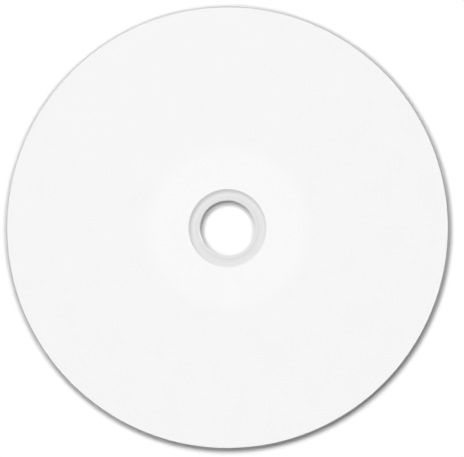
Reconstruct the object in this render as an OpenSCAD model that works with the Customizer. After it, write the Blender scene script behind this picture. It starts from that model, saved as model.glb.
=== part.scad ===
// A blank recordable disc with a white face for printing: two clear moulded halves bonded over a dye
// and a mirror film, with a coat on the label side. All sizes are in millimetres.
// The origin is the centre of the spindle hole, in the plane that the stacking ring rests on.
// +Z leaves the white face.

/* [Disc] */
// Diameter of the disc
disc_d = 120; // [119.7:0.1:120.3]
// Diameter of the spindle hole
hole_d = 15; // [15:0.05:15.15]
// Radius of the rounding on the disc's two outer corners
rim_round = 0.2; // [0.05:0.05:0.25]
// Chamfer on the two outer edges of the spindle hole
hole_chamfer = 0.1; // [0.05:0.05:0.2]

/* [Clear halves] */
// Thickness of the read-side half
read_t = 0.6; // [0.55:0.01:0.65]
// Thickness of the label-side half
label_t = 0.57; // [0.55:0.01:0.65]
// Radius of the rounding at the rim, where each half meets the bond
seam_round = 0.05; // [0.02:0.01:0.1]
// Radial width of the shallow land round the hole on the label side
land_w = 0.4; // [0.3:0.05:0.6]
// Depth of that land below the label-side face
land_depth = 0.03; // [0.01:0.01:0.05]

/* [Stacking ring] */
// Mean diameter of the stacking ring on the read side
stack_d = 34.6; // [34:0.1:38]
// Height of the stacking ring
stack_h = 0.2; // [0.1:0.01:0.25]
// Width of the stacking ring at its root
stack_root_w = 1; // [0.8:0.05:1.4]
// Width of the stacking ring at its flat crest
stack_crest_w = 0.4; // [0.2:0.05:0.6]

/* [Stamper groove] */
// Mean diameter of the groove that the stamper's holder leaves in the bonded face
groove_d = 22.6; // [22:0.1:30]
// Width of that groove at the bonded face
groove_w = 0.5; // [0.3:0.05:0.8]
// Width of that groove at its floor
groove_floor_w = 0.3; // [0.1:0.05:0.3]
// Depth of that groove
groove_depth = 0.1; // [0.05:0.01:0.15]

/* [Films] */
// Thickness of the dye
dye_t = 0.01; // [0.005:0.005:0.01]
// Thickness of the mirror
mirror_t = 0.01; // [0.005:0.005:0.01]
// Inner diameter of the mirror
mirror_in_d = 42.6; // [42:0.1:44]
// Width of the rim that the mirror leaves clear
mirror_rim_w = 1; // [0.8:0.05:1.5]
// How far the mirror passes the dye's inner edge, to seal it
inner_seal_w = 0.3; // [0.1:0.05:1]
// How far the mirror passes the dye's outer edge, to seal it
outer_seal_w = 0.4; // [0.1:0.05:1]

/* [Bond] */
// Thickness of the bond between the halves
bond_t = 0.05; // [0.04:0.01:0.07]
// Inner diameter of the bond
bond_in_d = 17.8; // [16:0.1:20]
// How far the bond stops short of the rim
bond_inset = 0.15; // [0.1:0.05:0.5]

/* [Printable coat] */
// Thickness of the white coat
coat_t = 0.03; // [0.02:0.01:0.06]
// Inner diameter of the white coat
coat_in_d = 21; // [18:0.1:24]
// How far the white coat passes the mirror's outer edge, to hide it
coat_overhang = 0.25; // [0.1:0.05:0.4]

/* [Hidden] */

// Segments in a full turn of the disc, and in the small circles of its section
turn_segments = 256;
arc_segments = 48;

// Radii shared by the pieces
disc_r = disc_d / 2;
hole_r = hole_d / 2;
mirror_in_r = mirror_in_d / 2;
mirror_out_r = disc_r - mirror_rim_w;
dye_in_r = mirror_in_r + inner_seal_w;
dye_out_r = mirror_out_r - outer_seal_w;
coat_out_r = mirror_out_r + coat_overhang;

// Levels above the plane that the disc rests on
read_face_z = stack_h;
bond_face_z = read_face_z + read_t;
mirror_face_z = bond_face_z + dye_t + mirror_t;
label_bond_z = bond_face_z + bond_t;
label_face_z = label_bond_z + label_t;
land_z = label_face_z - land_depth;
coat_face_z = label_face_z + coat_t;

// How far a cutting shape passes the surface that it cuts, and how far a ridge or groove's root goes
// into the piece that it belongs to
cut_past = 1;
root_overlap = bond_t / 2;

// Turns a section, drawn as radius across and height up, about the disc's axis
module turned() {
    rotate_extrude($fn = turn_segments) children();
}

// Rectangular section of a flat ring
module ring_section(inner_r, outer_r, bottom, top) {
    translate([inner_r, bottom]) square([outer_r - inner_r, top - bottom]);
}

// Section of a ridge or groove that hangs from a level, with sloping flanks. Its root goes on above
// the level, so that it joins or cuts what lies there.
module hanging_section(mean_r, level, root_w, crest_w, depth) {
    translate([mean_r, level])
        polygon([
            [-crest_w / 2, -depth], [crest_w / 2, -depth],
            [root_w / 2, 0], [root_w / 2, root_overlap],
            [-root_w / 2, root_overlap], [-root_w / 2, 0]
        ]);
}

// What a rounding takes off a section's corner. Toward holds the signs that lead from the corner
// into the section.
module rounding_waste(corner, radius, toward) {
    translate(corner)
        difference() {
            translate([for (way = toward) way > 0 ? -cut_past : -radius])
                square(radius + cut_past);
            translate(toward * radius) circle(radius, $fn = arc_segments);
        }
}

// What a chamfer takes off the spindle hole's edge at a level. The side is 1 where that edge looks up
// and -1 where it looks down.
module chamfer_waste(level, side) {
    polygon([
        [hole_r, level - side * hole_chamfer],
        [hole_r + hole_chamfer, level],
        [hole_r + hole_chamfer, level + side * cut_past],
        [hole_r - cut_past, level + side * cut_past],
        [hole_r - cut_past, level - side * hole_chamfer]
    ]);
}

// Section of one clear half, from the face it shows to the face it bonds by. The hole's edge lies
// lower than the face where there is a land round it.
module half_section(outer_z, inner_z, hole_edge_z) {
    side = sign(outer_z - inner_z);
    difference() {
        ring_section(hole_r, disc_r, min(outer_z, inner_z), max(outer_z, inner_z));
        rounding_waste([disc_r, outer_z], rim_round, [-1, -side]);
        rounding_waste([disc_r, inner_z], seam_round, [-1, side]);
        chamfer_waste(hole_edge_z, side);
    }
}

// Section of the stamper groove, which the bond fills
module groove_section() {
    hanging_section(groove_d / 2, bond_face_z, groove_w, groove_floor_w, groove_depth);
}

// Section of the stacking ring
module stacking_ring_section() {
    hanging_section(stack_d / 2, read_face_z, stack_root_w, stack_crest_w, stack_h);
}

// Section of the dye, spun onto the read-side half
module dye_section() {
    ring_section(dye_in_r, dye_out_r, bond_face_z, bond_face_z + dye_t);
}

// Section of the two films together: the mirror wraps the dye's edges and seals them
module films_section() {
    ring_section(mirror_in_r, mirror_out_r, bond_face_z, mirror_face_z);
}

// Clear half that faces the laser. The disc rests on its stacking ring.
module read_side_substrate() {
    color("lightsteelblue", 0.5)
        turned()
            difference() {
                union() {
                    half_section(read_face_z, bond_face_z, read_face_z);
                    stacking_ring_section();
                }
                groove_section();
            }
}

// Recording dye
module dye_layer() {
    color("mediumpurple")
        turned() dye_section();
}

// Reflective metal film
module mirror_layer() {
    color("silver")
        turned()
            difference() {
                films_section();
                dye_section();
            }
}

// Cured resin between the halves, which fills the groove and covers the films
module bonding_resin() {
    color("khaki", 0.5)
        turned()
            union() {
                difference() {
                    ring_section(bond_in_d / 2, disc_r - bond_inset, bond_face_z, label_bond_z);
                    films_section();
                }
                groove_section();
            }
}

// Clear half on the printed side, with a shallow land round its hole
module label_side_substrate() {
    color("aliceblue", 0.5)
        turned()
            difference() {
                half_section(label_face_z, label_bond_z, land_z);
                ring_section(hole_r - cut_past, hole_r + land_w, land_z, label_face_z + cut_past);
            }
}

// White ink-receptive coat
module printable_coat() {
    color("white")
        turned() ring_section(coat_in_d / 2, coat_out_r, label_face_z, coat_face_z);
}

read_side_substrate();
dye_layer();
mirror_layer();
bonding_resin();
label_side_substrate();
printable_coat();
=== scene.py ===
"""Looks of a blank printable disc: clear moulded halves, films, resin and white coat, seen from above."""

import math

import bmesh
import bpy
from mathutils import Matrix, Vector


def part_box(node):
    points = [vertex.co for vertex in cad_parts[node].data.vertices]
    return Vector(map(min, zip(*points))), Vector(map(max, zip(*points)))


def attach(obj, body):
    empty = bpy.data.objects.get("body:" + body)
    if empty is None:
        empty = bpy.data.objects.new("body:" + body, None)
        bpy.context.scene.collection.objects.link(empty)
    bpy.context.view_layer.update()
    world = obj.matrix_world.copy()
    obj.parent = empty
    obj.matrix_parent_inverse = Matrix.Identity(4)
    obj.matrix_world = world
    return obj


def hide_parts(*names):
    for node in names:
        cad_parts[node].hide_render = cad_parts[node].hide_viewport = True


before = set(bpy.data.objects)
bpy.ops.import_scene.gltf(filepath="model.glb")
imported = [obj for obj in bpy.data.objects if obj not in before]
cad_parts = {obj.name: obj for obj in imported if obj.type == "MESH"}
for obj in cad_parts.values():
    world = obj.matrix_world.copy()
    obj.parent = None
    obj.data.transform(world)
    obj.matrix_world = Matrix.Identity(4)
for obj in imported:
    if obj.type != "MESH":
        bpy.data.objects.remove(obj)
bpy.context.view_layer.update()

MM = 0.001

# Section sizes that the solids' own outlines don't give
READ_HALF_T = 0.6 * MM
RIM_ROUND = 0.2 * MM
SEAM_ROUND = 0.05 * MM
HOLE_CHAMFER = 0.1 * MM
LAND_WIDTH = 0.4 * MM
LAND_DEPTH = 0.03 * MM
STACK_MEAN_R = 17.3 * MM
STACK_ROOT_W = 1.0 * MM
STACK_CREST_W = 0.4 * MM
GROOVE_MEAN_R = 11.3 * MM
GROOVE_W = 0.5 * MM
GROOVE_FLOOR_W = 0.3 * MM
GROOVE_DEPTH = 0.1 * MM

# The clear pieces are drawn this far from what they're bonded to, so that no two faces coincide
BOND_GAP = 0.003 * MM

# Segments in a full turn and in a quarter of a small rounding
TURN_SEGMENTS = 384
ROUND_STEPS = 6
SHARP_ANGLE = math.radians(28)

# Optics of the clear pieces
PC_IOR = 1.585
RESIN_IOR = 1.5
PC_TINT = (0.987, 0.987, 0.987)
RESIN_TINT = (0.96, 0.96, 0.93)
RIM_ROUGHNESS = 0.06
HOLE_ROUGHNESS = 0.12
RESIN_ROUGHNESS = 0.1
# What the faint flow rings tint the plastic by, where they're densest and thinnest
FLOW_TINT_LOW = 0.965
FLOW_TINT_HIGH = 1.0

# The share of a lamp's light that goes straight on through a surface: an outer face, a face at the
# air gap round the bond, and the bonded face under the coat's inner edge and near the rim
FACE_PASS = 0.87
GAP_PASS = 0.985
COAT_SHADE_PASS = 0.52
RIM_SHADE_PASS = 0.25
# The same for an upright wall, where light comes out of the plastic and where it goes in. The hole's
# wall lets hardly any out, because it reflects the light that entered by the face.
HOLE_WALL_PASS_OUT = 0.02
HOLE_WALL_PASS_IN = 0.75
RIM_WALL_PASS_OUT = 0.95
RIM_WALL_PASS_IN = 0.75

# Tone of the white coat, over the mirror and over the clear zone inside it, where the lighter tone is
# painted light that stands in for the lit floor shining up through the thin coat
COAT_OVER_MIRROR = 0.867
COAT_OVER_CLEAR = 0.89
# How far clouds and specks take that tone up and down, as shares of it
COAT_CLOUD_TONE = 0.004
COAT_SPECK_TONE = 0.015
# Its gloss, which the pores vary
COAT_SHINE = 0.3
COAT_ROUGHNESS_LOW = 0.56
COAT_ROUGHNESS_HIGH = 0.7
# Between these radii the tone changes over, and with it the share of lamps' light that the coat passes
COAT_STEP_START_R = 18.6 * MM
COAT_STEP_END_R = 24.0 * MM
COAT_PASS_OVER_CLEAR = 0.95
COAT_PASS_OVER_MIRROR = 0.0
# Past the mirror's edge the coat has nothing behind it, and is translucent
COAT_RIM_GLOW = 0.65
COAT_RIM_BLEND = 0.03 * MM
# Real light is bent down by the plastic and lands nearer to the rim than lamps' light does here, so
# the coat lets lamps' light by from this far inside the mirror's edge
COAT_SHADOW_INSET = 0.5 * MM

# The films' two colours, which they wander between with rings and with painted radial streaks that stand
# in for the tracks' rainbow diffraction, and their gloss
MIRROR_COLOURS = ((0.83, 0.83, 0.85), (0.87, 0.87, 0.88))
MIRROR_ROUGHNESS = 0.12
MIRROR_ANISOTROPY = 0.5
DYE_COLOURS = ((0.4, 0.31, 0.62), (0.46, 0.38, 0.66))
DYE_ROUGHNESS = 0.2
DYE_ANISOTROPY = 0.8
# Size of the painted radial streaks, which stand in for the rainbow that the tracks diffract
FILM_PAINTED_STREAK_SCALE = 3
# A sum of two noises takes the colour from the first to the second between these values
FILM_WANDER_START = 0.7
FILM_WANDER_END = 1.3
# How far the rings take a film's roughness up and down, as a share of it
FILM_ROUGHNESS_SPREAD = 0.1

# Where a noise's values mostly lie
NOISE_LOW = 0.3
NOISE_HIGH = 0.7

# Grain sizes
COAT_PORE = 0.09 * MM
COAT_PORE_DEPTH = 0.004 * MM
COAT_CLOUD = 9.0 * MM
MOULD_RING_PITCH = 0.32 * MM
MOULD_RING_DEPTH = 0.0004 * MM
WALL_LINE_PITCH = 0.05 * MM
WALL_LINE_DEPTH = 0.002 * MM
FILM_RING_PITCH = 1.6 * MM

# Light: a broad key at the upper left in three parts, softer lights at both sides, and an even fill.
# Each has its azimuth, elevation and spread in degrees, and its share of the light on the disc.
SOFT_LIGHTS = (
    ("key_right", 100, 36, 14, 0.201),
    ("key_middle", 130, 36, 14, 0.238),
    ("key_left", 160, 40, 14, 0.165),
    ("side_right", 60, 43, 16, 0.17),
    ("side_far_right", 22, 49, 17, 0.096),
    ("side_left", 200, 48, 26, 0.135),
)
FILL_SHARE = 0.04
# Fill from below, which the floor keeps off the disc, so it shows only where the floor is left out
FILL_BELOW = 0.6
# Sky that the disc's gloss mirrors, from right below to nearly right above it
SKY_LOW = 0.45
SKY_HIGH = 1.0
# Heights in the sky, from -1 right below to 1 right above, where it and the fill change over
SKY_START = -1
SKY_END = 0.9
FILL_START = -0.1
FILL_END = 0
FLOOR_COLOUR = 0.985
FLOOR_HALF_WIDTH = 3.0

# Clear pieces lie in many layers, and light crosses them twice
CLEAR_LAYERS = 32

# Camera, and the picture it frames
IMAGE_WIDTH_PX = 464
IMAGE_HEIGHT_PX = 457
DISC_CENTRE_PX = (227.5, 228.1)
DISC_RADIUS_PX = 223.1
# The photo's camera stood a little towards +Y, so the hub looks lower in the rim than from straight above
CAMERA_LEAN_DEG = 1.1
# Focal length and sensor width in millimetres
CAMERA_LENS = 150
CAMERA_SENSOR = 36


def node_ring(name):
    """Inner radius, outer radius, bottom and top of a turned CAD node."""
    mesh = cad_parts[name].data
    radii = [math.hypot(v.co.x, v.co.y) for v in mesh.vertices]
    low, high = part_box(name)
    return min(radii), max(radii), low.z, high.z


HOLE_R, DISC_R, RING_FOOT_Z, BOND_FACE_Z = node_ring("read_side_substrate")
MIRROR_IN_R, MIRROR_OUT_R, _, MIRROR_TOP_Z = node_ring("mirror_layer")
BOND_IN_R, BOND_OUT_R, GROOVE_FLOOR_Z, LABEL_BOND_Z = node_ring("bonding_resin")
_, _, _, LABEL_FACE_Z = node_ring("label_side_substrate")
COAT_IN_R, COAT_OUT_R, _, _ = node_ring("printable_coat")
READ_FACE_Z = BOND_FACE_Z - READ_HALF_T


def link(tree, source, target):
    """Joins an output socket to an input socket."""
    tree.links.new(source, target)


def add_node(tree, kind, **settings):
    """A node of a kind with its properties set."""
    node = tree.nodes.new(kind)
    for name, value in settings.items():
        setattr(node, name, value)
    return node


def new_material(name):
    """An empty node material, its tree and its output node."""
    material = bpy.data.materials.new(name)
    material.use_nodes = True
    material.node_tree.nodes.clear()
    return material, material.node_tree, add_node(material.node_tree, "ShaderNodeOutputMaterial")


def plain_grey(value):
    """A neutral colour with full alpha."""
    return (value, value, value, 1)


def place_on_disc(tree):
    """Position from the disc's origin, in metres."""
    return add_node(tree, "ShaderNodeTexCoord").outputs["Object"]


def flat_place(tree):
    """Position in the disc's plane, with no height."""
    flat = add_node(tree, "ShaderNodeVectorMath", operation="MULTIPLY")
    flat.inputs[1].default_value = (1, 1, 0)
    link(tree, place_on_disc(tree), flat.inputs[0])
    return flat.outputs["Vector"]


def radius_on_disc(tree):
    """Distance from the disc's axis, in metres."""
    length = add_node(tree, "ShaderNodeVectorMath", operation="LENGTH")
    link(tree, flat_place(tree), length.inputs[0])
    return length.outputs["Value"]


def height_on_disc(tree):
    """Height above the plane that the disc rests on, in metres."""
    parts = add_node(tree, "ShaderNodeSeparateXYZ")
    link(tree, place_on_disc(tree), parts.inputs[0])
    return parts.outputs["Z"]


def ranged(tree, value, from_low, from_high, low, high, smooth=False):
    """Takes a value from one range to another, and holds it at the ends."""
    kind = "SMOOTHSTEP" if smooth else "LINEAR"
    node = add_node(tree, "ShaderNodeMapRange", interpolation_type=kind)
    node.inputs["From Min"].default_value = from_low
    node.inputs["From Max"].default_value = from_high
    node.inputs["To Min"].default_value = low
    node.inputs["To Max"].default_value = high
    link(tree, value, node.inputs["Value"])
    return node.outputs["Result"]


def combined(tree, operation, first, second):
    """Two values combined by a math operation."""
    node = add_node(tree, "ShaderNodeMath", operation=operation)
    link(tree, first, node.inputs[0])
    link(tree, second, node.inputs[1])
    return node.outputs[0]


def spread(tree, noise, low, high):
    """Takes a noise's usual values to another range."""
    return ranged(tree, noise, NOISE_LOW, NOISE_HIGH, low, high)


def grain(tree, size, detail=2):
    """Cloudy noise over the disc, with patches of about this size."""
    noise = add_node(tree, "ShaderNodeTexNoise")
    noise.inputs["Scale"].default_value = 1 / size
    noise.inputs["Detail"].default_value = detail
    link(tree, place_on_disc(tree), noise.inputs["Vector"])
    return noise.outputs["Fac"]


def line_noise(tree, along, pitch, detail=3):
    """Uneven lines that follow one another along a value, such as the radius."""
    noise = add_node(tree, "ShaderNodeTexNoise", noise_dimensions="1D")
    noise.inputs["Scale"].default_value = 1 / pitch
    noise.inputs["Detail"].default_value = detail
    link(tree, along, noise.inputs["W"])
    return noise.outputs["Fac"]


def bumped(tree, height, depth, shader):
    """Gives a shader relief of this depth."""
    bump = add_node(tree, "ShaderNodeBump")
    bump.inputs["Strength"].default_value = 1
    bump.inputs["Distance"].default_value = depth
    link(tree, height, bump.inputs["Height"])
    link(tree, bump.outputs["Normal"], shader.inputs["Normal"])


def between(tree, factor, first, second):
    """A shader that goes from the first to the second with the factor."""
    mix = add_node(tree, "ShaderNodeMixShader")
    link(tree, factor, mix.inputs[0])
    link(tree, first, mix.inputs[1])
    link(tree, second, mix.inputs[2])
    return mix.outputs[0]


def open_way(tree, share):
    """Lets this share of light straight through."""
    way = add_node(tree, "ShaderNodeBsdfTransparent")
    way.inputs["Color"].default_value = plain_grey(share)
    return way.outputs[0]


def passing(tree, shader, way):
    """The shader, but lamps' light and the light between surfaces go straight through by the way."""
    light_path = add_node(tree, "ShaderNodeLightPath")
    shader = between(tree, light_path.outputs["Is Diffuse Ray"], shader, way)
    return between(tree, light_path.outputs["Is Shadow Ray"], shader, way)


def clear_body(tree, roughness, tint, ior):
    """Shader of clear plastic."""
    body = add_node(tree, "ShaderNodeBsdfPrincipled")
    body.inputs["Base Color"].default_value = (*tint, 1)
    body.inputs["Roughness"].default_value = roughness
    body.inputs["IOR"].default_value = ior
    body.inputs["Transmission Weight"].default_value = 1
    return body


def moulded_face(name, light_through):
    """Polished moulded face, with faint rings where the plastic flowed out from the hole."""
    material, tree, out = new_material(name)
    body = clear_body(tree, 0.0, PC_TINT, PC_IOR)
    rings = line_noise(tree, radius_on_disc(tree), MOULD_RING_PITCH)
    link(tree, spread(tree, rings, FLOW_TINT_LOW, FLOW_TINT_HIGH), body.inputs["Base Color"])
    bumped(tree, rings, MOULD_RING_DEPTH, body)
    shader = passing(tree, body.outputs[0], open_way(tree, light_through))
    link(tree, shader, out.inputs["Surface"])
    return material


def clear_wall(name, roughness, pass_out, pass_in):
    """Upright wall of the clear plastic, with fine lines round it from the mould. It passes lamps'
    light by one share where that comes out and by another where it goes in."""
    material, tree, out = new_material(name)
    body = clear_body(tree, roughness, PC_TINT, PC_IOR)
    bumped(tree, line_noise(tree, height_on_disc(tree), WALL_LINE_PITCH), WALL_LINE_DEPTH, body)
    geometry = add_node(tree, "ShaderNodeNewGeometry")
    way = between(
        tree, geometry.outputs["Backfacing"], open_way(tree, pass_out), open_way(tree, pass_in)
    )
    link(tree, passing(tree, body.outputs[0], way), out.inputs["Surface"])
    return material


def resin_edge(name):
    """Edge of the cured resin where it meets air, a little uneven from how it spread."""
    material, tree, out = new_material(name)
    body = clear_body(tree, RESIN_ROUGHNESS, RESIN_TINT, RESIN_IOR)
    bumped(tree, grain(tree, MOULD_RING_PITCH), WALL_LINE_DEPTH, body)
    shader = passing(tree, body.outputs[0], open_way(tree, FACE_PASS))
    link(tree, shader, out.inputs["Surface"])
    return material


def bonded_face(name):
    """Face that is wetted by what it touches, so that light crosses it unbent."""
    material, tree, out = new_material(name)
    link(tree, open_way(tree, 1), out.inputs["Surface"])
    return material


def face_in_coat_shade(name, light_through):
    """Bonded face under the coat's edge. It holds back the lamps' light that the coat above it doesn't,
    because lamps' light goes straight here where real light is bent down by the plastic."""
    material, tree, out = new_material(name)
    shader = passing(tree, open_way(tree, 1), open_way(tree, light_through))
    link(tree, shader, out.inputs["Surface"])
    return material


def coat_tone(tree, radius, pores):
    """Tone of the white coat: lighter where no mirror lies behind it, a painted glow standing in for the
    lit floor shining up through the coat, with slight clouds and specks.
    """
    # Painted glow: the lighter tone over the clear zone stands in for light coming up through the coat
    # from the floor
    tone = ranged(tree, radius, COAT_STEP_START_R, COAT_STEP_END_R,
                  COAT_OVER_CLEAR, COAT_OVER_MIRROR, smooth=True)
    clouds = spread(tree, grain(tree, COAT_CLOUD), 1 - COAT_CLOUD_TONE, 1 + COAT_CLOUD_TONE)
    specks = spread(tree, pores, 1 - COAT_SPECK_TONE, 1 + COAT_SPECK_TONE)
    for variation in (clouds, specks):
        tone = combined(tree, "MULTIPLY", tone, variation)
    return tone


def coat_glow(tree, radius, coat):
    """The coat's shader, but translucent past the mirror's edge."""
    glow = add_node(tree, "ShaderNodeBsdfTranslucent")
    glow.inputs["Color"].default_value = plain_grey(COAT_OVER_CLEAR)
    share = ranged(tree, radius, MIRROR_OUT_R, MIRROR_OUT_R + COAT_RIM_BLEND, 0, COAT_RIM_GLOW)
    return between(tree, share, coat, glow.outputs[0])


def coat_way(tree, radius):
    """Lets lamps' light through the coat inside the mirror and past it."""
    way = add_node(tree, "ShaderNodeBsdfTransparent")
    shadow_r = MIRROR_OUT_R - COAT_SHADOW_INSET
    past_mirror = ranged(tree, radius, shadow_r, shadow_r + COAT_RIM_BLEND, 0, 1)
    inside_mirror = ranged(tree, radius, COAT_STEP_START_R, COAT_STEP_END_R,
                           COAT_PASS_OVER_CLEAR, COAT_PASS_OVER_MIRROR, smooth=True)
    passed = combined(tree, "MAXIMUM", inside_mirror, past_mirror)
    link(tree, passed, way.inputs["Color"])
    return way.outputs[0]


def white_coat():
    """Matt porous white."""
    material, tree, out = new_material("ink_receptive_white")
    radius = radius_on_disc(tree)
    pores = grain(tree, COAT_PORE)
    body = add_node(tree, "ShaderNodeBsdfPrincipled")
    body.inputs["Specular IOR Level"].default_value = COAT_SHINE
    link(tree, coat_tone(tree, radius, pores), body.inputs["Base Color"])
    roughness = spread(tree, pores, COAT_ROUGHNESS_LOW, COAT_ROUGHNESS_HIGH)
    link(tree, roughness, body.inputs["Roughness"])
    bumped(tree, pores, COAT_PORE_DEPTH, body)
    coat = coat_glow(tree, radius, body.outputs[0])
    light_path = add_node(tree, "ShaderNodeLightPath")
    shader = between(tree, light_path.outputs["Is Shadow Ray"], coat, coat_way(tree, radius))
    link(tree, shader, out.inputs["Surface"])
    return material


def rings_and_painted_streaks_colour(tree, rings, colours):
    """Colour that wanders between two, with the rings and with the angle, where it paints radial streaks
    that stand in for the tracks' rainbow diffraction.
    """
    outward = add_node(tree, "ShaderNodeVectorMath", operation="NORMALIZE")
    link(tree, flat_place(tree), outward.inputs[0])
    # Painted radial streaks that stand in for the tracks' rainbow diffraction
    painted_streaks = add_node(tree, "ShaderNodeTexNoise")
    painted_streaks.inputs["Scale"].default_value = FILM_PAINTED_STREAK_SCALE
    link(tree, outward.outputs["Vector"], painted_streaks.inputs["Vector"])
    both = combined(tree, "ADD", rings, painted_streaks.outputs["Fac"])
    first, second = colours
    colour = add_node(tree, "ShaderNodeMix", data_type="RGBA")
    colour.inputs["A"].default_value = (*first, 1)
    colour.inputs["B"].default_value = (*second, 1)
    wander = ranged(tree, both, FILM_WANDER_START, FILM_WANDER_END, 0, 1)
    link(tree, wander, colour.inputs["Factor"])
    return colour.outputs["Result"]


def track_film(name, colours, roughness, anisotropy):
    """Reflective film over circular tracks, which stretch its highlights outward. Its colour wanders with
    rings and with painted radial streaks, which stand in for the rainbow that the tracks diffract."""
    material, tree, out = new_material(name)
    body = add_node(tree, "ShaderNodeBsdfPrincipled")
    body.inputs["Metallic"].default_value = 1
    body.inputs["Anisotropic"].default_value = anisotropy
    around = add_node(tree, "ShaderNodeTangent", direction_type="RADIAL", axis="Z")
    link(tree, around.outputs[0], body.inputs["Tangent"])
    rings = line_noise(tree, radius_on_disc(tree), FILM_RING_PITCH)
    link(tree, rings_and_painted_streaks_colour(tree, rings, colours), body.inputs["Base Color"])
    most = roughness * FILM_ROUGHNESS_SPREAD
    link(tree, spread(tree, rings, roughness - most, roughness + most), body.inputs["Roughness"])
    link(tree, body.outputs[0], out.inputs["Surface"])
    return material


def arc(centre_r, centre_z, radius, start_deg, end_deg, key):
    """Points on a rounding of a section. Angle 0 points outward and 90 points up."""
    points = []
    for step in range(ROUND_STEPS + 1):
        angle = math.radians(start_deg + (end_deg - start_deg) * step / ROUND_STEPS)
        points.append((centre_r + radius * math.cos(angle), centre_z + radius * math.sin(angle), key))
    return points


def ring_of_points(mesh_builder, radius, height):
    """Points round the disc's axis, at a radius and a height."""
    ring = []
    for segment in range(TURN_SEGMENTS):
        angle = 2 * math.pi * segment / TURN_SEGMENTS
        place = (radius * math.cos(angle), radius * math.sin(angle), height)
        ring.append(mesh_builder.verts.new(place))
    return ring


def strip_of_faces(mesh_builder, ring, following, material_index):
    """Smooth faces between two rings of points."""
    for segment in range(TURN_SEGMENTS):
        after = (segment + 1) % TURN_SEGMENTS
        corners = (ring[segment], ring[after], following[after], following[segment])
        face = mesh_builder.faces.new(corners)
        face.material_index = material_index
        face.smooth = True


def turned_piece(name, section, materials):
    """Turns a closed section about Z. Each point holds a radius, a height and the key of the material
    on the strip from it to the next point."""
    keys = list(materials)
    mesh_builder = bmesh.new()
    rings = [ring_of_points(mesh_builder, radius, height) for radius, height, _ in section]
    for index, (_, _, key) in enumerate(section):
        following = rings[(index + 1) % len(section)]
        strip_of_faces(mesh_builder, rings[index], following, keys.index(key))
    bmesh.ops.recalc_face_normals(mesh_builder, faces=mesh_builder.faces)
    mesh = bpy.data.meshes.new(name)
    mesh_builder.to_mesh(mesh)
    mesh_builder.free()
    mesh.set_sharp_from_angle(angle=SHARP_ANGLE)
    for key in keys:
        mesh.materials.append(materials[key])
    piece = bpy.data.objects.new(name, mesh)
    # A flat face keeps its own normals up to the rounding beside it
    normals = piece.modifiers.new("flat_faces_lead", "WEIGHTED_NORMAL")
    normals.keep_sharp = True
    bpy.context.scene.collection.objects.link(piece)
    return piece


def stand_in(piece, node):
    """Stands the piece in for its CAD node."""
    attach(piece, "root")
    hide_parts(node)


def refinish(node, material):
    """Gives a CAD node its finished material."""
    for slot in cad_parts[node].material_slots:
        slot.material = material


def read_half_section():
    """Read-side half: chamfered hole, stacking ring, rounded rim, bonded face with its groove."""
    bonded_z = BOND_FACE_Z - BOND_GAP
    root = STACK_ROOT_W / 2
    crest = STACK_CREST_W / 2
    mouth = GROOVE_W / 2
    floor = GROOVE_FLOOR_W / 2
    return [
        (HOLE_R + HOLE_CHAMFER, READ_FACE_Z, "face"),
        (STACK_MEAN_R - root, READ_FACE_Z, "face"),
        (STACK_MEAN_R - crest, RING_FOOT_Z, "face"),
        (STACK_MEAN_R + crest, RING_FOOT_Z, "face"),
        (STACK_MEAN_R + root, READ_FACE_Z, "face"),
        *arc(DISC_R - RIM_ROUND, READ_FACE_Z + RIM_ROUND, RIM_ROUND, -90, 0, "rim"),
        *arc(DISC_R - SEAM_ROUND, bonded_z - SEAM_ROUND, SEAM_ROUND, 0, 90, "rim"),
        (BOND_OUT_R, bonded_z, "bonded"),
        (GROOVE_MEAN_R + mouth, bonded_z, "bonded"),
        (GROOVE_MEAN_R + floor, bonded_z - GROOVE_DEPTH, "bonded"),
        (GROOVE_MEAN_R - floor, bonded_z - GROOVE_DEPTH, "bonded"),
        (GROOVE_MEAN_R - mouth, bonded_z, "bonded"),
        (BOND_IN_R, bonded_z, "gap"),
        (HOLE_R, bonded_z, "hole"),
        (HOLE_R, READ_FACE_Z + HOLE_CHAMFER, "hole"),
    ]


def label_half_section():
    """Label-side half: bonded face, rounded rim, face under the coat, land and chamfered hole."""
    bonded_z = LABEL_BOND_Z + BOND_GAP
    coated_z = LABEL_FACE_Z - BOND_GAP
    land_z = LABEL_FACE_Z - LAND_DEPTH
    land_r = HOLE_R + LAND_WIDTH
    return [
        (HOLE_R, bonded_z, "gap"),
        (BOND_IN_R, bonded_z, "bonded"),
        (COAT_IN_R, bonded_z, "coat_shade"),
        (MIRROR_IN_R, bonded_z, "bonded"),
        (MIRROR_OUT_R, bonded_z, "rim_shade"),
        (BOND_OUT_R, bonded_z, "gap"),
        *arc(DISC_R - SEAM_ROUND, bonded_z + SEAM_ROUND, SEAM_ROUND, -90, 0, "rim"),
        *arc(DISC_R - RIM_ROUND, LABEL_FACE_Z - RIM_ROUND, RIM_ROUND, 0, 90, "rim"),
        (COAT_OUT_R, LABEL_FACE_Z, "bonded"),
        (COAT_OUT_R, coated_z, "bonded"),
        (COAT_IN_R, coated_z, "bonded"),
        (COAT_IN_R, LABEL_FACE_Z, "face"),
        (land_r, LABEL_FACE_Z, "face"),
        (land_r, land_z, "face"),
        (HOLE_R + HOLE_CHAMFER, land_z, "hole"),
        (HOLE_R, land_z - HOLE_CHAMFER, "hole"),
    ]


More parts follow.
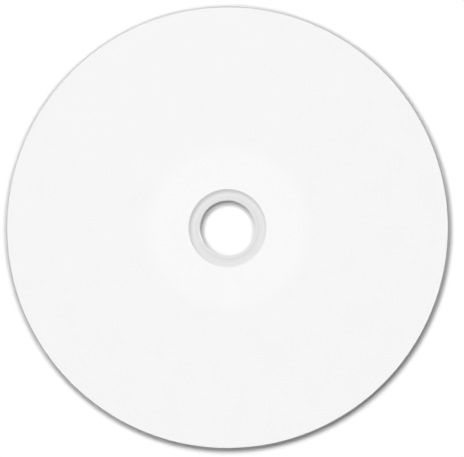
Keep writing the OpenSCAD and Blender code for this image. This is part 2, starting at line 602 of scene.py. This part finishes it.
def resin_section():
    """Resin between the halves: it fills the groove and closes over the mirror."""
    over_mirror_z = MIRROR_TOP_Z + BOND_GAP
    inside_mirror_r = MIRROR_IN_R - BOND_GAP
    outside_mirror_r = MIRROR_OUT_R + BOND_GAP
    mouth = GROOVE_W / 2
    floor = GROOVE_FLOOR_W / 2
    return [
        (BOND_IN_R, BOND_FACE_Z, "bonded"),
        (GROOVE_MEAN_R - mouth, BOND_FACE_Z, "bonded"),
        (GROOVE_MEAN_R - floor, GROOVE_FLOOR_Z, "bonded"),
        (GROOVE_MEAN_R + floor, GROOVE_FLOOR_Z, "bonded"),
        (GROOVE_MEAN_R + mouth, BOND_FACE_Z, "bonded"),
        (inside_mirror_r, BOND_FACE_Z, "bonded"),
        (inside_mirror_r, over_mirror_z, "bonded"),
        (outside_mirror_r, over_mirror_z, "bonded"),
        (outside_mirror_r, BOND_FACE_Z, "bonded"),
        (BOND_OUT_R, BOND_FACE_Z, "edge"),
        (BOND_OUT_R, LABEL_BOND_Z, "bonded"),
        (BOND_IN_R, LABEL_BOND_Z, "edge"),
    ]


def build_disc():
    """Clear pieces drawn for the CAD's clear nodes, and finishes for the coat and the films."""
    bonded = bonded_face("bonded_face")
    surfaces = {
        "face": moulded_face("polycarbonate_face", FACE_PASS),
        "gap": moulded_face("polycarbonate_gap", GAP_PASS),
        "rim": clear_wall("polycarbonate_rim", RIM_ROUGHNESS, RIM_WALL_PASS_OUT, RIM_WALL_PASS_IN),
        "hole": clear_wall(
            "polycarbonate_hole_wall", HOLE_ROUGHNESS, HOLE_WALL_PASS_OUT, HOLE_WALL_PASS_IN
        ),
        "bonded": bonded,
    }
    read_half = turned_piece("clear_read_half", read_half_section(), surfaces)
    stand_in(read_half, "read_side_substrate")

    surfaces["coat_shade"] = face_in_coat_shade("bonded_face_in_coat_shade", COAT_SHADE_PASS)
    surfaces["rim_shade"] = face_in_coat_shade("bonded_face_near_the_rim", RIM_SHADE_PASS)
    label_half = turned_piece("clear_label_half", label_half_section(), surfaces)
    stand_in(label_half, "label_side_substrate")

    surfaces = {"bonded": bonded, "edge": resin_edge("resin_edge")}
    resin = turned_piece("resin_bond", resin_section(), surfaces)
    stand_in(resin, "bonding_resin")

    refinish("printable_coat", white_coat())
    mirror = track_film("silver_mirror", MIRROR_COLOURS, MIRROR_ROUGHNESS, MIRROR_ANISOTROPY)
    refinish("mirror_layer", mirror)
    dye = track_film("violet_dye", DYE_COLOURS, DYE_ROUGHNESS, DYE_ANISOTROPY)
    refinish("dye_layer", dye)


def build_floor():
    """Plain pale floor that reads as white and keeps the disc's shadow."""
    material, tree, out = new_material("pale_floor")
    surface = add_node(tree, "ShaderNodeBsdfDiffuse")
    surface.inputs["Color"].default_value = plain_grey(FLOOR_COLOUR)
    link(tree, surface.outputs[0], out.inputs["Surface"])
    far = FLOOR_HALF_WIDTH
    mesh = bpy.data.meshes.new("floor")
    mesh.from_pydata([(-far, -far, 0), (far, -far, 0), (far, far, 0), (-far, far, 0)], [], [(0, 1, 2, 3)])
    mesh.materials.append(material)
    floor = bpy.data.objects.new("floor", mesh)
    bpy.context.scene.collection.objects.link(floor)


def build_lamps():
    """Soft lights, each like a large round softbox far away."""
    for name, azimuth_deg, elevation_deg, spread_deg, share in SOFT_LIGHTS:
        azimuth = math.radians(azimuth_deg)
        elevation = math.radians(elevation_deg)
        lamp = bpy.data.lights.new(name, "SUN")
        lamp.angle = math.radians(spread_deg)
        lamp.energy = share * math.pi / math.sin(elevation)
        towards = Vector((
            math.cos(elevation) * math.cos(azimuth),
            math.cos(elevation) * math.sin(azimuth),
            math.sin(elevation),
        ))
        holder = bpy.data.objects.new(name, lamp)
        holder.location = towards
        holder.rotation_euler = (-towards).to_track_quat("-Z", "Y").to_euler()
        bpy.context.scene.collection.objects.link(holder)


def sky_strength(tree):
    """Strength of the sky: a fill for the lighting, white for the camera and a soft grade for gloss."""
    parts = add_node(tree, "ShaderNodeSeparateXYZ")
    link(tree, add_node(tree, "ShaderNodeTexCoord").outputs["Generated"], parts.inputs[0])
    grade = ranged(tree, parts.outputs["Z"], SKY_START, SKY_END, SKY_LOW, SKY_HIGH)
    soft = ranged(tree, parts.outputs["Z"], FILL_START, FILL_END, FILL_BELOW, FILL_SHARE)
    light_path = add_node(tree, "ShaderNodeLightPath")
    fill = add_node(tree, "ShaderNodeMix", data_type="FLOAT")
    fill.inputs["B"].default_value = 1
    link(tree, soft, fill.inputs["A"])
    link(tree, light_path.outputs["Is Camera Ray"], fill.inputs["Factor"])
    strength = fill.outputs["Result"]
    for output in ("Is Glossy Ray", "Is Transmission Ray"):
        mix = add_node(tree, "ShaderNodeMix", data_type="FLOAT")
        link(tree, light_path.outputs[output], mix.inputs["Factor"])
        link(tree, strength, mix.inputs["A"])
        link(tree, grade, mix.inputs["B"])
        strength = mix.outputs["Result"]
    return strength


def build_sky():
    """Even fill on the disc, white behind it, and a soft grade from top to bottom in its gloss."""
    world = bpy.data.worlds.new("studio")
    world.use_nodes = True
    tree = world.node_tree
    tree.nodes.clear()
    out = add_node(tree, "ShaderNodeOutputWorld")
    background = add_node(tree, "ShaderNodeBackground")
    background.inputs["Color"].default_value = plain_grey(1)
    link(tree, sky_strength(tree), background.inputs["Strength"])
    link(tree, background.outputs[0], out.inputs["Surface"])
    bpy.context.scene.world = world


def build_camera():
    """Looks almost straight down, framed so that the disc has its size and place in the photo."""
    camera = bpy.data.cameras.new("camera")
    camera.lens = CAMERA_LENS
    camera.sensor_width = CAMERA_SENSOR
    metres_per_px = DISC_R / DISC_RADIUS_PX
    seen_width = IMAGE_WIDTH_PX * metres_per_px
    distance = seen_width * CAMERA_LENS / CAMERA_SENSOR
    # The disc's widest outline lies below the coat, at the top of its rim wall
    outline_z = LABEL_FACE_Z - RIM_ROUND
    aim = Vector((
        (IMAGE_WIDTH_PX / 2 - DISC_CENTRE_PX[0]) * metres_per_px,
        (DISC_CENTRE_PX[1] - IMAGE_HEIGHT_PX / 2) * metres_per_px,
        outline_z,
    ))
    lean = math.radians(CAMERA_LEAN_DEG)
    holder = bpy.data.objects.new("camera", camera)
    holder.location = aim + distance * Vector((0, math.sin(lean), math.cos(lean)))
    holder.rotation_euler = (-lean, 0, 0)
    bpy.context.scene.collection.objects.link(holder)
    bpy.context.scene.camera = holder


build_camera()
build_disc()
build_floor()
build_lamps()
build_sky()
bpy.context.scene.view_settings.view_transform = "Standard"
bpy.context.scene.cycles.transparent_max_bounces = CLEAR_LAYERS
